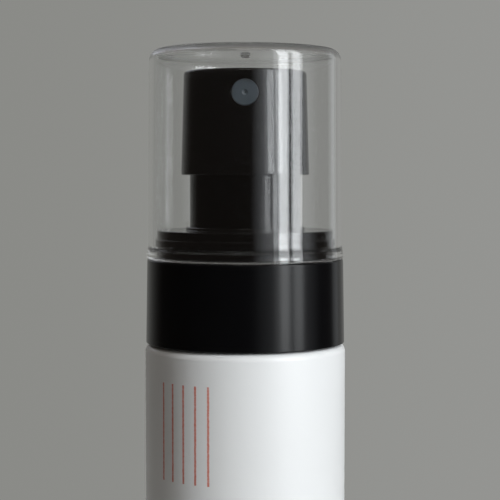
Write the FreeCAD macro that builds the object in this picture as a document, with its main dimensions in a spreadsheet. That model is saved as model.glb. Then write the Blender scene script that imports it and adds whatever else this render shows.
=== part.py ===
import FreeCAD, Part

import math
import os
import re

import Sketcher
from FreeCAD import Placement, Rotation, Vector

# A fine-mist finger pump on a round bottle, with its overcap on. Lengths are in millimetres.
# The origin is the centre of the bottle's base, +Z points up and the nozzle faces -Y.

# Driving sizes. Each can be changed by itself.
SIZES = {
    # Bottle
    "bottle_diameter": "38.0",
    "bottle_height": "110.0",
    "bottle_wall": "1.2",
    "shoulder_round": "1.5",
    "heel_round": "2.5",
    "base_ring": "3.5",
    "base_slope": "4.0",
    "base_rise": "1.8",
    "neck_wall": "2.1",
    "neck_fillet": "0.8",
    "neck_clearance": "0.5",
    "thread_depth": "1.2",
    "thread_pitch": "3.175",
    "thread_turns": "1.5",
    "thread_root": "1.7",
    "thread_crest": "0.7",
    "thread_bed": "0.3",
    "thread_drop": "2.6",
    # Collar and closure
    "collar_gap": "0.2",
    "collar_inset": "0.15",
    "collar_draft": "0.25",
    "collar_height": "15.8",
    "collar_wall": "1.5",
    "collar_flange": "1.4",
    "collar_top_wall": "1.2",
    "collar_land": "1.5",
    "collar_edge": "0.35",
    "seat_height": "5.5",
    "seat_wall": "1.3",
    "seat_edge": "0.45",
    "seat_bead_drop": "2.4",
    "seat_bead_width": "0.9",
    "seat_bead_rise": "0.34",
    "lip_width": "0.65",
    "lip_height": "0.6",
    "lip_edge": "0.2",
    "rib_thickness": "1.0",
    "rib_count": "12",
    "rib_lift": "2.0",
    "spline_depth": "0.5",
    "spline_clearance": "0.15",
    "closure_lift": "4.0",
    "closure_wall": "1.8",
    "closure_web": "1.3",
    "closure_rim": "0.8",
    "thread_clearance": "0.2",
    "thread_fit": "0.3",
    "thread_play": "0.15",
    "closure_thread_turns": "1.25",
    "closure_thread_root": "1.3",
    "closure_thread_crest": "0.6",
    "tower_diameter": "21.0",
    "tower_wall": "1.2",
    "tower_overlap": "3.5",
    "tower_clearance": "0.15",
    "tower_edge": "0.35",
    # Overcap
    "cap_seat_gap": "0.05",
    "cap_rim_wall": "1.3",
    "cap_rim_height": "3.25",
    "cap_rim_slope": "1.4",
    "cap_rim_step": "0.22",
    "cap_wall": "1.08",
    "cap_draft": "0.22",
    "cap_top": "1.5",
    "cap_edge": "1.8",
    "cap_inner_edge": "1.0",
    "cap_seat_clearance": "0.6",
    "cap_bead_level": "1.3",
    "cap_bead_width": "0.8",
    "cap_bead_clearance": "0.06",
    "gate_diameter": "1.9",
    "gate_depth": "0.3",
    "gate_boss_diameter": "2.0",
    "gate_boss_drop": "0.3",
    "head_room": "2.7",
    # Button
    "press_stroke": "7.0",
    "press_clearance": "0.9",
    "rest_clearance": "3.4",
    "skirt_clearance": "0.3",
    "skirt_wall": "1.35",
    "skirt_draft": "0.55",
    "skirt_edge": "0.25",
    "button_top": "1.7",
    "button_edge": "1.2",
    "button_inner_edge": "0.5",
    "dish_diameter": "17.0",
    "dish_depth": "0.7",
    "boss_wall": "1.7",
    "socket_depth": "7.0",
    "button_rib": "1.0",
    "button_rib_depth": "4.5",
    "feed_diameter": "1.6",
    "cross_diameter": "1.0",
    # Nozzle
    "nozzle_diameter": "4.8",
    "nozzle_length": "3.2",
    "nozzle_face": "0.9",
    "nozzle_below_top": "4.4",
    "nozzle_edge": "0.15",
    "barrel_wall": "1.2",
    "post_diameter": "2.6",
    "post_clearance": "0.05",
    "orifice_diameter": "0.4",
    "dimple_diameter": "1.4",
    "dimple_depth": "0.35",
    "swirl_diameter": "1.3",
    "swirl_depth": "0.3",
    "swirl_groove": "0.35",
    "swirl_count": "3",
    # Pump
    "press_fit": "0.02",
    "running_fit": "0.05",
    "gasket_thickness": "0.8",
    "gasket_clearance": "0.2",
    "flange_thickness": "1.2",
    "flange_clearance": "0.5",
    "pump_bore": "7.0",
    "bore_step": "1.3",
    "bore_lead": "0.6",
    "housing_wall": "0.9",
    "seal_ledge": "0.5",
    "seal_thickness": "0.8",
    "seal_lip": "0.25",
    "stop_gap": "0.05",
    "vent_diameter": "1.0",
    "vent_drop": "2.4",
    "plug_length": "5.4",
    "plug_wall": "1.0",
    "retainer_rim": "1.4",
    "retainer_flange": "1.0",
    "retainer_floor": "0.9",
    "turret_height": "3.0",
    "turret_wall": "1.1",
    "stem_bore": "2.0",
    "stem_wall": "1.2",
    "stem_flange": "1.0",
    "stem_flange_clearance": "0.4",
    "stem_lead": "0.3",
    "spigot_wall": "0.7",
    "spigot_end": "0.2",
    "travel_clearance": "0.8",
    "piston_inset": "0.6",
    "piston_length": "5.0",
    "piston_clearance": "0.04",
    "lip_depth": "0.85",
    "lip_relief": "0.35",
    "lip_tip": "0.3",
    "lip_groove": "1.3",
    "hub_inset": "0.4",
    "valve_gap": "0.05",
    "valve_opening": "0.8",
    "valve_head": "1.2",
    "valve_head_overlap": "0.5",
    "valve_collar": "0.8",
    "valve_collar_rim": "0.1",
    "valve_rod_clearance": "0.3",
    "valve_rod": "5.0",
    "valve_pin": "4.5",
    "valve_pin_clearance": "0.85",
    "spring_wire": "0.6",
    "spring_turns": "7",
    "spring_clearance": "0.75",
    "spring_seat_gap": "0.05",
    "spring_reserve": "0.6",
    "ball_diameter": "3.5",
    "ball_clearance": "0.35",
    "ball_lift": "0.95",
    "ball_seat_gap": "0.05",
    "cage_rib_height": "0.8",
    "cage_rib_thickness": "0.7",
    "cage_rib_reach": "0.45",
    "inlet_diameter": "1.8",
    "inlet_length": "1.3",
    "tube_diameter": "4.0",
    "tube_wall": "0.7",
    "tube_socket": "8.0",
    "socket_wall": "1.0",
    "tube_end_gap": "0.05",
    "tube_floor_gap": "1.6",
    "tube_cut": "2.2",
}

# Sizes and levels that follow from the driving ones.
WORKED_OUT = {
    # Radii, from the pump's axis outwards
    "stem_bore_radius": "stem_bore / 2",
    "stem_radius": "stem_bore_radius + stem_wall",
    "spigot_radius": "stem_bore_radius + spigot_wall",
    "guide_radius": "stem_radius + running_fit",
    "turret_radius": "guide_radius + turret_wall",
    "pump_bore_radius": "pump_bore / 2",
    "piston_bore_radius": "spigot_radius + running_fit",
    "piston_lip_radius": "pump_bore_radius - piston_clearance",
    "piston_waist_radius": "piston_lip_radius - lip_relief",
    "piston_hub_radius": "piston_lip_radius - lip_depth",
    "spring_radius": "pump_bore_radius - spring_clearance - spring_wire / 2",
    "valve_collar_radius": "spring_radius + spring_wire / 2 + valve_collar_rim",
    "valve_head_radius": "piston_bore_radius + valve_head_overlap",
    "valve_rod_radius": "stem_bore_radius - valve_rod_clearance",
    "valve_pin_radius": "spring_radius - spring_wire / 2 - valve_pin_clearance",
    "upper_bore_radius": "pump_bore_radius + bore_step",
    "stem_flange_radius": "upper_bore_radius - stem_flange_clearance",
    "seal_bore_radius": "upper_bore_radius + seal_ledge",
    "plug_radius": "seal_bore_radius - press_fit",
    "retainer_radius": "seal_bore_radius + retainer_rim",
    "barrel_radius": "seal_bore_radius + housing_wall",
    "neck_bore_radius": "barrel_radius + neck_clearance",
    "neck_radius": "neck_bore_radius + neck_wall",
    "thread_radius": "neck_radius + thread_depth",
    "closure_bore_radius": "thread_radius + thread_clearance",
    "closure_radius": "closure_bore_radius + closure_wall",
    "closure_crest_radius": "neck_radius + thread_fit",
    "closure_bed_radius": "closure_bore_radius + thread_bed",
    "neck_bed_radius": "neck_radius - thread_bed",
    "closure_hole_radius": "retainer_radius + thread_clearance",
    "gasket_radius": "closure_bore_radius - gasket_clearance",
    "flange_radius": "closure_bore_radius - flange_clearance",
    "ball_radius": "ball_diameter / 2",
    "cage_radius": "ball_radius + ball_clearance",
    "inlet_radius": "inlet_diameter / 2",
    "tube_radius": "tube_diameter / 2",
    "socket_radius": "tube_radius + press_fit",
    # Radii of what shows
    "bottle_radius": "bottle_diameter / 2",
    "base_edge_radius": "bottle_radius - heel_round - base_ring",
    "collar_radius": "bottle_radius - collar_inset",
    "collar_top_radius": "collar_radius - collar_draft",
    "collar_bore_radius": "collar_top_radius - collar_wall",
    "cap_rim_radius": "collar_top_radius",
    "cap_bore_radius": "cap_rim_radius - cap_rim_wall",
    "cap_radius": "cap_rim_radius - cap_rim_step",
    "cap_top_radius": "cap_radius - cap_draft",
    "cap_top_bore_radius": "cap_top_radius - cap_wall - cap_draft / 2",
    "seat_radius": "cap_bore_radius - cap_seat_clearance",
    "seat_bore_radius": "seat_radius - seat_wall",
    "seat_bead_radius": "seat_radius + seat_bead_rise",
    "cap_bead_radius": "seat_bead_radius + cap_bead_clearance",
    "tower_radius": "tower_diameter / 2",
    "tower_bore_radius": "tower_radius - tower_wall",
    "collar_hole_radius": "tower_radius + tower_clearance",
    "web_radius": "max(closure_radius; tower_radius + collar_land) + closure_rim",
    "button_bore_radius": "tower_radius + skirt_clearance",
    "button_radius": "button_bore_radius + skirt_wall",
    "button_top_radius": "button_radius - skirt_draft",
    "nozzle_radius": "nozzle_diameter / 2",
    "nozzle_barrel_radius": "nozzle_radius + barrel_wall",
    "post_radius": "post_diameter / 2",
    "cup_bore_radius": "post_radius + post_clearance",
    "boss_radius": "stem_radius + boss_wall",
    # Levels above the bottle's base
    "collar_level": "bottle_height + collar_gap",
    "seat_level": "collar_level + collar_height",
    "seat_top_level": "seat_level + seat_height",
    "web_level": "seat_top_level - collar_top_wall",
    "flange_top_level": "web_level - closure_web",
    "flange_level": "flange_top_level - flange_thickness",
    "neck_top_level": "flange_level - gasket_thickness",
    "closure_level": "bottle_height + closure_lift",
    "thread_level": "neck_top_level - thread_drop - thread_turns * thread_pitch",
    "thread_slope": "(thread_root - thread_crest) / (thread_radius - neck_bed_radius)",
    "closure_thread_slope": "(closure_thread_root - closure_thread_crest) / (closure_bed_radius - closure_crest_radius)",
    "thread_overlap": "max(thread_slope; closure_thread_slope) * (thread_radius - closure_crest_radius)",
    "thread_stagger": "(thread_crest + closure_thread_crest + thread_overlap) / 2 + thread_play",
    "closure_thread_height": "thread_level - thread_stagger - closure_level",
    "button_level": "seat_top_level + press_stroke + rest_clearance",
    "tower_top_level": "button_level + tower_overlap",
    "nozzle_height": "tower_overlap + press_stroke + press_clearance + nozzle_barrel_radius",
    "button_height": "nozzle_height + nozzle_below_top",
    "button_ceiling": "button_height - button_top",
    "cap_level": "seat_level + cap_seat_gap",
    "cap_height": "button_level + button_height + head_room + cap_top - cap_level",
    "seal_top_level": "flange_top_level - plug_length",
    "seal_level": "seal_top_level - seal_thickness",
    "stem_stop_level": "seal_level - stop_gap",
    "bore_top_level": "stem_stop_level - stem_flange - press_stroke - travel_clearance",
    "piston_level": "bore_top_level - piston_inset - piston_length",
    "stem_end_level": "piston_level - spigot_end",
    "stem_top_height": "nozzle_height - nozzle_radius - feed_diameter / 4",
    "valve_seat_level": "stem_end_level - valve_gap",
    "spring_top_level": "valve_seat_level - valve_head - valve_collar",
    "spring_travel": "press_stroke + valve_opening + spring_reserve",
    "spring_length": "(spring_turns + 1) * spring_wire + spring_travel",
    "spring_level": "spring_top_level - spring_length",
    "valve_level": "spring_top_level - valve_pin",
    "cage_top_level": "spring_level - cage_rib_height",
    "ball_level": "cage_top_level - ball_lift - ball_radius",
    "cone_level": "ball_level - (ball_radius + ball_seat_gap) * sqrt(2)",
    "tube_stop_level": "cone_level + inlet_radius - inlet_length",
    "housing_level": "tube_stop_level - tube_socket",
    "tube_level": "base_rise + bottle_wall + tube_floor_gap",
    "tube_length": "tube_stop_level - tube_end_gap - tube_level",
    # The nozzle's place in the drafted skirt
    "skirt_radius_at_nozzle": "button_radius - skirt_draft * nozzle_height / button_height",
    "nozzle_front": "sqrt(skirt_radius_at_nozzle ^ 2 - nozzle_radius ^ 2) - press_fit",
    "nozzle_barrel_length": "sqrt(skirt_radius_at_nozzle ^ 2 - nozzle_barrel_radius ^ 2) - running_fit",
    "ring_radius": "(nozzle_radius + post_radius) / 2",
    "dish_radius": "((dish_diameter / 2) ^ 2 + dish_depth ^ 2) / (2 * dish_depth)",
}

doc = FreeCAD.newDocument("PumpBottle")
sizes = doc.addObject("Spreadsheet::Sheet", "Sizes")
levels = doc.addObject("Spreadsheet::Sheet", "Levels")


def formula(text):
    """The same formula with each name turned into a reference to its sheet."""
    def reference(match):
        name = match.group(0)
        if name in SIZES:
            return "Sizes." + name
        if name in WORKED_OUT:
            return "Levels." + name
        return name
    return re.sub(r"[a-z][a-z_]*", reference, text)


for row, (name, size) in enumerate(SIZES.items(), 1):
    sizes.set(f"A{row}", name.replace("_", " "))
    sizes.set(f"B{row}", size)
    sizes.setAlias(f"B{row}", name)
doc.recompute()

for row, (name, text) in enumerate(WORKED_OUT.items(), 1):
    levels.set(f"A{row}", name.replace("_", " "))
    levels.setAlias(f"B{row}", name)
    levels.set(f"B{row}", "=" + formula(text).replace("Levels.", ""))
doc.recompute()


def number(text):
    """A formula's value as it stands."""
    return float(levels.evalExpression(formula(text)))


def bind(sketch, constraint, text):
    """Adds a constraint whose size follows a formula."""
    place = sketch.addConstraint(constraint)
    sketch.setExpression(f"Constraints[{place}]", formula(text))


def tie(sketch, shape, end, across, up):
    """Holds a point of the sketch at two distances from its origin."""
    for kind, text, axis in (("DistanceX", across, -2), ("DistanceY", up, -1)):
        size = number(text)
        if text == "0":
            sketch.addConstraint(Sketcher.Constraint("PointOnObject", shape, end, axis))
        elif size > 0:
            bind(sketch, Sketcher.Constraint(kind, -1, 1, shape, end, size), text)
        else:
            bind(sketch, Sketcher.Constraint(kind, shape, end, -1, 1, -size), f"-({text})")


def outline(sketch, corners):
    """Draws a closed outline through corners given as (across, up) or (across, up, rounding)."""
    count = len(corners)
    spots = [Vector(number(corner[0]), number(corner[1]), 0) for corner in corners]
    stops = list(spots)
    starts = list(spots)
    arcs = {}
    for i, corner in enumerate(corners):
        if len(corner) == 3:
            radius = number(corner[2])
            back = (spots[i - 1] - spots[i]).normalize()
            ahead = (spots[(i + 1) % count] - spots[i]).normalize()
            half = back.getAngle(ahead) / 2
            stops[i] = spots[i] + back * (radius / math.tan(half))
            starts[i] = spots[i] + ahead * (radius / math.tan(half))
            centre = spots[i] + (back + ahead).normalize() * (radius / math.sin(half))
            left_turn = back.y * ahead.x - back.x * ahead.y > 0
            arcs[i] = (centre, radius, left_turn)
    sides = []
    for i in range(count):
        side = Part.LineSegment(starts[i], stops[(i + 1) % count])
        sides.append(sketch.addGeometry(side))
    for i, corner in enumerate(corners):
        if i not in arcs:
            sketch.addConstraint(Sketcher.Constraint("Coincident", sides[i - 1], 2, sides[i], 1))
            tie(sketch, sides[i], 1, corner[0], corner[1])
            continue
        centre, radius, left_turn = arcs[i]
        first, last = (stops[i], starts[i]) if left_turn else (starts[i], stops[i])
        turn_on = math.atan2(first.y - centre.y, first.x - centre.x)
        turn_off = math.atan2(last.y - centre.y, last.x - centre.x)
        if turn_off < turn_on:
            turn_off += 2 * math.pi
        circle = Part.Circle(centre, Vector(0, 0, 1), radius)
        arc = sketch.addGeometry(Part.ArcOfCircle(circle, turn_on, turn_off))
        entry, leave = (1, 2) if left_turn else (2, 1)
        sketch.addConstraint(Sketcher.Constraint("Tangent", sides[i - 1], 2, arc, entry))
        sketch.addConstraint(Sketcher.Constraint("Tangent", arc, leave, sides[i], 1))
        bind(sketch, Sketcher.Constraint("Radius", arc, radius), corner[2])
        point = sketch.addGeometry(Part.Point(spots[i]), True)
        sketch.addConstraint(Sketcher.Constraint("PointOnObject", point, 1, sides[i - 1]))
        sketch.addConstraint(Sketcher.Constraint("PointOnObject", point, 1, sides[i]))
        tie(sketch, point, 1, corner[0], corner[1])


def disc(sketch, across, up, radius):
    """Draws a circle."""
    centre = Vector(number(across), number(up), 0)
    circle = sketch.addGeometry(Part.Circle(centre, Vector(0, 0, 1), number(radius)))
    tie(sketch, circle, 3, across, up)
    bind(sketch, Sketcher.Constraint("Radius", circle, number(radius)), radius)


def origin_piece(body, role):
    """One of a body's own origin planes or axes."""
    return next(piece for piece in body.Origin.OriginFeatures if piece.Role == role)


def new_body(label, level="0"):
    """A body of its own that stands at a level above the base."""
    body = doc.addObject("PartDesign::Body", label)
    body.Label = label
    body.setExpression("Placement.Base.z", formula(level))
    return body


def new_sketch(body, name, role, offset=None):
    """A sketch on one of the body's origin planes, moved along the plane's normal."""
    sketch = body.newObject("Sketcher::SketchObject", name)
    sketch.AttachmentSupport = (origin_piece(body, role), [""])
    sketch.MapMode = "FlatFace"
    if offset:
        sketch.setExpression("AttachmentOffset.Base.z", formula(offset))
    return sketch


def turned(body, name, corners, role="XZ_Plane"):
    """A solid of revolution about the sketch's upright axis."""
    sketch = new_sketch(body, name + "Outline", role)
    outline(sketch, corners)
    solid = body.newObject("PartDesign::Revolution", name)
    solid.Profile = sketch
    solid.ReferenceAxis = (sketch, ["V_Axis"])
    solid.Angle = 360
    doc.recompute()
    return solid


def raised(body, name, sketch, length, backwards=False):
    """A pad along the sketch's normal, or against it."""
    pad = body.newObject("PartDesign::Pad", name)
    pad.Profile = sketch
    pad.setExpression("Length", formula(length))
    pad.Reversed = backwards
    doc.recompute()
    return pad


def cut(body, name, sketch, length, along_normal=False):
    """A pocket against the sketch's normal, or along it. It has to take material away."""
    before = body.Shape.Volume
    pocket = body.newObject("PartDesign::Pocket", name)
    pocket.Profile = sketch
    pocket.setExpression("Length", formula(length))
    pocket.Reversed = along_normal
    doc.recompute()
    if body.Shape.Volume >= before:
        raise RuntimeError(f"{name} cuts nothing")
    return pocket


def repeated(body, name, feature, count, axis="Z_Axis", angle=360):
    """A polar pattern of one feature."""
    pattern = body.newObject("PartDesign::PolarPattern", name)
    pattern.Originals = [feature]
    pattern.Axis = (origin_piece(body, axis), [""])
    pattern.Angle = angle
    pattern.setExpression("Occurrences", formula(count))
    body.Tip = pattern
    doc.recompute()
    return pattern


def slab(sketch, inner, outer, thickness):
    """Draws a bar that runs outwards along the sketch's first axis."""
    outline(sketch, [(inner, f"-{thickness} / 2"), (outer, f"-{thickness} / 2"),
                     (outer, f"{thickness} / 2"), (inner, f"{thickness} / 2")])


def screw_ridge(body, name, turns, level, bed_radius, bed_width, crest_radius, crest_width):
    """A thread that winds up the body's axis to the right. Its bed lies inside the wall it stands on."""
    sketch = new_sketch(body, name + "Outline", "XZ_Plane")
    outline(sketch, [
        (bed_radius, f"{level} - {bed_width} / 2"),
        (crest_radius, f"{level} - {crest_width} / 2"),
        (crest_radius, f"{level} + {crest_width} / 2"),
        (bed_radius, f"{level} + {bed_width} / 2"),
    ])
    before = body.Shape.Volume
    ridge = body.newObject("PartDesign::AdditiveHelix", name)
    ridge.Profile = sketch
    ridge.ReferenceAxis = (sketch, ["V_Axis"])
    ridge.Mode = "pitch-turns-angle"
    ridge.setExpression("Pitch", formula("thread_pitch"))
    ridge.setExpression("Turns", formula(turns))
    doc.recompute()
    if body.Shape.Volume <= before:
        raise RuntimeError(f"{name} adds nothing")
    return ridge


# Bottle: a blown wall with a raised base, a small shoulder round and a threaded neck.
bottle = new_body("bottle")
turned(bottle, "BottleWall", [
    ("0", "base_rise"),
    ("base_edge_radius - base_slope", "base_rise"),
    ("base_edge_radius", "0"),
    ("bottle_radius", "0", "heel_round"),
    ("bottle_radius", "bottle_height", "shoulder_round"),
    ("neck_radius", "bottle_height", "neck_fillet"),
    ("neck_radius", "neck_top_level"),
    ("neck_bore_radius", "neck_top_level"),
    ("neck_bore_radius", "bottle_height - bottle_wall"),
    ("bottle_radius - bottle_wall", "bottle_height - bottle_wall", "shoulder_round / 2"),
    ("bottle_radius - bottle_wall", "bottle_wall", "heel_round * 0.6"),
    ("base_edge_radius", "bottle_wall"),
    ("base_edge_radius - base_slope", "base_rise + bottle_wall"),
    ("0", "base_rise + bottle_wall"),
])
screw_ridge(bottle, "NeckThread", "thread_turns", "thread_level",
            "neck_bed_radius", "thread_root", "thread_radius", "thread_crest")

# Gasket: a flat washer between the neck and the pump's flange.
gasket = new_body("neck_gasket", "neck_top_level")
turned(gasket, "GasketRing", [
    ("barrel_radius + neck_clearance / 3", "0"),
    ("gasket_radius", "0"),
    ("gasket_radius", "gasket_thickness"),
    ("barrel_radius + neck_clearance / 3", "gasket_thickness"),
])

# Housing: flange, stepped barrel, ball cage with a cone seat, and the socket for the tube.
housing = new_body("pump_housing", "housing_level")
turned(housing, "HousingWall", [
    ("socket_radius", "0"),
    ("socket_radius + socket_wall", "0"),
    ("socket_radius + socket_wall", "tube_stop_level - housing_level"),
    ("cage_radius + housing_wall", "cone_level + cage_radius - housing_level"),
    ("cage_radius + housing_wall", "cage_top_level - housing_level"),
    ("pump_bore_radius + housing_wall", "spring_level - housing_level"),
    ("pump_bore_radius + housing_wall", "bore_top_level - housing_wall - housing_level"),
    ("barrel_radius", "bore_top_level + bore_lead - housing_level"),
    ("barrel_radius", "flange_level - housing_level"),
    ("flange_radius", "flange_level - housing_level"),
    ("flange_radius", "flange_top_level - housing_level"),
    ("seal_bore_radius", "flange_top_level - housing_level"),
    ("seal_bore_radius", "seal_level - housing_level"),
    ("upper_bore_radius", "seal_level - housing_level"),
    ("upper_bore_radius", "bore_top_level + bore_lead - housing_level"),
    ("pump_bore_radius", "bore_top_level - housing_level"),
    ("pump_bore_radius", "spring_level - housing_level"),
    ("cage_radius", "spring_level - housing_level"),
    ("cage_radius", "cone_level + cage_radius - housing_level"),
    ("inlet_radius", "cone_level + inlet_radius - housing_level"),
    ("inlet_radius", "tube_stop_level - housing_level"),
    ("socket_radius", "tube_stop_level - housing_level"),
])
cage = new_sketch(housing, "CageRibOutline", "XY_Plane", "cage_top_level - housing_level")
slab(cage, "ball_radius - cage_rib_reach", "cage_radius + housing_wall / 2", "cage_rib_thickness")
cage_rib = raised(housing, "CageRib", cage, "cage_rib_height")
repeated(housing, "CageRibs", cage_rib, "4")
vent = new_sketch(housing, "VentOutline", "XZ_Plane")
disc(vent, "0", "stem_stop_level - stem_flange - vent_drop - housing_level", "vent_diameter / 2")
cut(housing, "VentHole", vent, "barrel_radius + housing_wall")

# Retainer: a plug pressed into the barrel's mouth, with a turret that guides the stem.
retainer = new_body("stem_retainer", "seal_top_level")
turned(retainer, "RetainerWall", [
    ("guide_radius", "0"),
    ("plug_radius", "0"),
    ("plug_radius", "plug_length"),
    ("retainer_radius", "plug_length"),
    ("retainer_radius", "plug_length + retainer_flange"),
    ("plug_radius - plug_wall", "plug_length + retainer_flange"),
    ("plug_radius - plug_wall", "retainer_floor"),
    ("turret_radius", "retainer_floor"),
    ("turret_radius", "plug_length + turret_height"),
    ("guide_radius", "plug_length + turret_height"),
])

# Seal: a soft washer under the retainer, with a thin inner lip that wipes the stem.
seal = new_body("stem_seal", "seal_level")
turned(seal, "SealRing", [
    ("guide_radius", "seal_lip"),
    ("guide_radius + seal_lip", "0"),
    ("plug_radius", "0"),
    ("plug_radius", "seal_thickness"),
    ("guide_radius + seal_lip", "seal_thickness"),
    ("guide_radius", "seal_thickness - seal_lip"),
])

# Stem: a hollow rod from the piston's spigot up into the button, with a stop flange.
stem = new_body("stem", "stem_end_level")
turned(stem, "StemWall", [
    ("stem_bore_radius", "0"),
    ("spigot_radius", "0"),
    ("spigot_radius", "spigot_end + piston_length + running_fit"),
    ("stem_radius", "spigot_end + piston_length + running_fit"),
    ("stem_radius", "stem_stop_level - stem_flange - stem_end_level"),
    ("stem_flange_radius", "stem_stop_level - stem_flange - stem_end_level"),
    ("stem_flange_radius", "stem_stop_level - stem_end_level"),
    ("stem_radius", "stem_stop_level - stem_end_level"),
    ("stem_radius", "button_level + stem_top_height - stem_lead - stem_end_level"),
    ("stem_radius - stem_lead", "button_level + stem_top_height - stem_end_level"),
    ("stem_bore_radius", "button_level + stem_top_height - stem_end_level"),
])

# Piston: a hub on the spigot with a lip that runs in the bore at each end.
piston = new_body("piston", "piston_level")
turned(piston, "PistonWall", [
    ("piston_bore_radius", "hub_inset"),
    ("piston_hub_radius - lip_tip", "hub_inset"),
    ("piston_hub_radius", "lip_groove"),
    ("piston_lip_radius - lip_tip", "0"),
    ("piston_lip_radius", "0"),
    ("piston_waist_radius", "lip_groove + lip_tip"),
    ("piston_waist_radius", "piston_length - lip_groove - lip_tip"),
    ("piston_lip_radius", "piston_length"),
    ("piston_lip_radius - lip_tip", "piston_length"),
    ("piston_hub_radius", "piston_length - lip_groove"),
    ("piston_hub_radius - lip_tip", "piston_length - hub_inset"),
    ("piston_bore_radius", "piston_length - hub_inset"),
])

# Outlet valve: a plunger with a rod in the stem, a head that shuts it and a collar for the spring.
valve = new_body("outlet_valve", "valve_level")
turned(valve, "ValvePlunger", [
    ("0", "0"),
    ("valve_pin_radius", "0"),
    ("valve_pin_radius", "valve_pin"),
    ("valve_collar_radius", "valve_pin"),
    ("valve_collar_radius", "valve_pin + valve_collar"),
    ("valve_head_radius", "valve_pin + valve_collar"),
    ("valve_head_radius", "valve_pin + valve_collar + valve_head"),
    ("valve_rod_radius", "valve_pin + valve_collar + valve_head"),
    ("valve_rod_radius", "valve_pin + valve_collar + valve_head + valve_rod"),
    ("0", "valve_pin + valve_collar + valve_head + valve_rod"),
])

# Ball: it rests on the cone seat, held in the cage by the four ribs.
ball = doc.addObject("Part::Sphere", "inlet_ball")
ball.Label = "inlet_ball"
ball.setExpression("Radius", formula("ball_radius"))
ball.setExpression("Placement.Base.z", formula("ball_level"))

# Dip tube: pressed into the socket, with a slanted lower end.
tube = new_body("dip_tube", "tube_level")
turned(tube, "TubeWall", [
    ("tube_radius - tube_wall", "0"),
    ("tube_radius", "0"),
    ("tube_radius", "tube_length"),
    ("tube_radius - tube_wall", "tube_length"),
])
slant = new_sketch(tube, "SlantOutline", "XZ_Plane", "2 * tube_radius")
outline(slant, [("-1.2 * tube_radius", "0"), ("1.2 * tube_radius", "0"), ("1.2 * tube_radius", "tube_cut")])
cut(tube, "SlantCut", slant, "4 * tube_radius")

# Closure: a screw skirt with key grooves, a web over the pump's flange and the button's guide tower.
closure = new_body("threaded_closure", "closure_level")
turned(closure, "ClosureWall", [
    ("closure_bore_radius", "0"),
    ("closure_radius", "0"),
    ("closure_radius", "flange_top_level - closure_level"),
    ("web_radius", "flange_top_level - closure_level"),
    ("web_radius", "web_level - closure_level"),
    ("tower_radius", "web_level - closure_level"),
    ("tower_radius", "tower_top_level - closure_level", "tower_edge"),
    ("tower_bore_radius", "tower_top_level - closure_level"),
    ("tower_bore_radius", "web_level - closure_level"),
    ("closure_hole_radius", "web_level - closure_level"),
    ("closure_hole_radius", "flange_top_level - closure_level"),
    ("closure_bore_radius", "flange_top_level - closure_level"),
])
screw_ridge(closure, "ClosureThread", "closure_thread_turns", "closure_thread_height",
            "closure_bed_radius", "closure_thread_root", "closure_crest_radius", "closure_thread_crest")
spline = new_sketch(closure, "SplineOutline", "XY_Plane")
slab(spline, "closure_radius - spline_depth", "closure_radius + closure_rim",
     "(rib_thickness + 2 * spline_clearance)")
spline_cut = cut(closure, "Spline", spline, "flange_top_level - closure_level", along_normal=True)
repeated(closure, "Splines", spline_cut, "rib_count")

# Collar: the outer shell, its stepped seat for the overcap with a snap bead, and the keying ribs.
collar = new_body("collar_shell", "collar_level")
turned(collar, "CollarWall", [
    ("collar_bore_radius", "0"),
    ("collar_radius", "0"),
    ("collar_top_radius", "collar_height", "collar_edge"),
    ("seat_radius", "collar_height"),
    ("seat_radius", "collar_height + seat_height", "seat_edge"),
    ("collar_hole_radius + lip_width", "collar_height + seat_height"),
    ("collar_hole_radius + lip_width", "collar_height + seat_height + lip_height", "lip_edge"),
    ("collar_hole_radius", "collar_height + seat_height + lip_height", "lip_edge"),
    ("collar_hole_radius", "collar_height + seat_height - collar_top_wall"),
    ("seat_bore_radius", "collar_height + seat_height - collar_top_wall"),
    ("seat_bore_radius", "collar_height - collar_flange"),
    ("collar_bore_radius", "collar_height - collar_flange"),
])
turned(collar, "SeatBead", [
    ("seat_radius - seat_wall / 4", "collar_height + seat_height - seat_bead_drop - seat_bead_width / 2"),
    ("seat_radius", "collar_height + seat_height - seat_bead_drop - seat_bead_width / 2"),
    ("seat_bead_radius", "collar_height + seat_height - seat_bead_drop - seat_bead_width / 6"),
    ("seat_bead_radius", "collar_height + seat_height - seat_bead_drop + seat_bead_width / 6"),
    ("seat_radius", "collar_height + seat_height - seat_bead_drop + seat_bead_width / 2"),
    ("seat_radius - seat_wall / 4", "collar_height + seat_height - seat_bead_drop + seat_bead_width / 2"),
])
rib = new_sketch(collar, "RibOutline", "XY_Plane", "rib_lift")
slab(rib, "closure_radius - spline_depth + spline_clearance", "collar_bore_radius + collar_wall / 4",
     "rib_thickness")
collar_rib = raised(collar, "Rib", rib, "collar_height - 0.8 * collar_flange - rib_lift")
repeated(collar, "Ribs", collar_rib, "rib_count")

# Button: a drafted shell with a finger dish, the stem's socket, the nozzle's barrel and three ribs.
button = new_body("actuator", "button_level")
turned(button, "ButtonWall", [
    ("0", "button_ceiling"),
    ("button_bore_radius", "button_ceiling", "button_inner_edge"),
    ("button_bore_radius", "0"),
    ("button_radius", "0", "skirt_edge"),
    ("button_top_radius", "button_height", "button_edge"),
    ("0", "button_height"),
])
boss = new_sketch(button, "BossOutline", "XY_Plane", "stem_top_height - socket_depth")
disc(boss, "0", "0", "boss_radius")
raised(button, "Boss", boss, "button_ceiling + button_top / 4 - stem_top_height + socket_depth")
barrel = new_sketch(button, "BarrelOutline", "XZ_Plane")
disc(barrel, "0", "nozzle_height", "nozzle_barrel_radius")
raised(button, "Barrel", barrel, "nozzle_barrel_length")
button_rib = new_sketch(button, "ButtonRibOutline", "XY_Plane", "button_ceiling - button_rib_depth")
slab(button_rib, "boss_radius - boss_wall / 2", "button_bore_radius + skirt_wall / 4", "button_rib")
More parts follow.
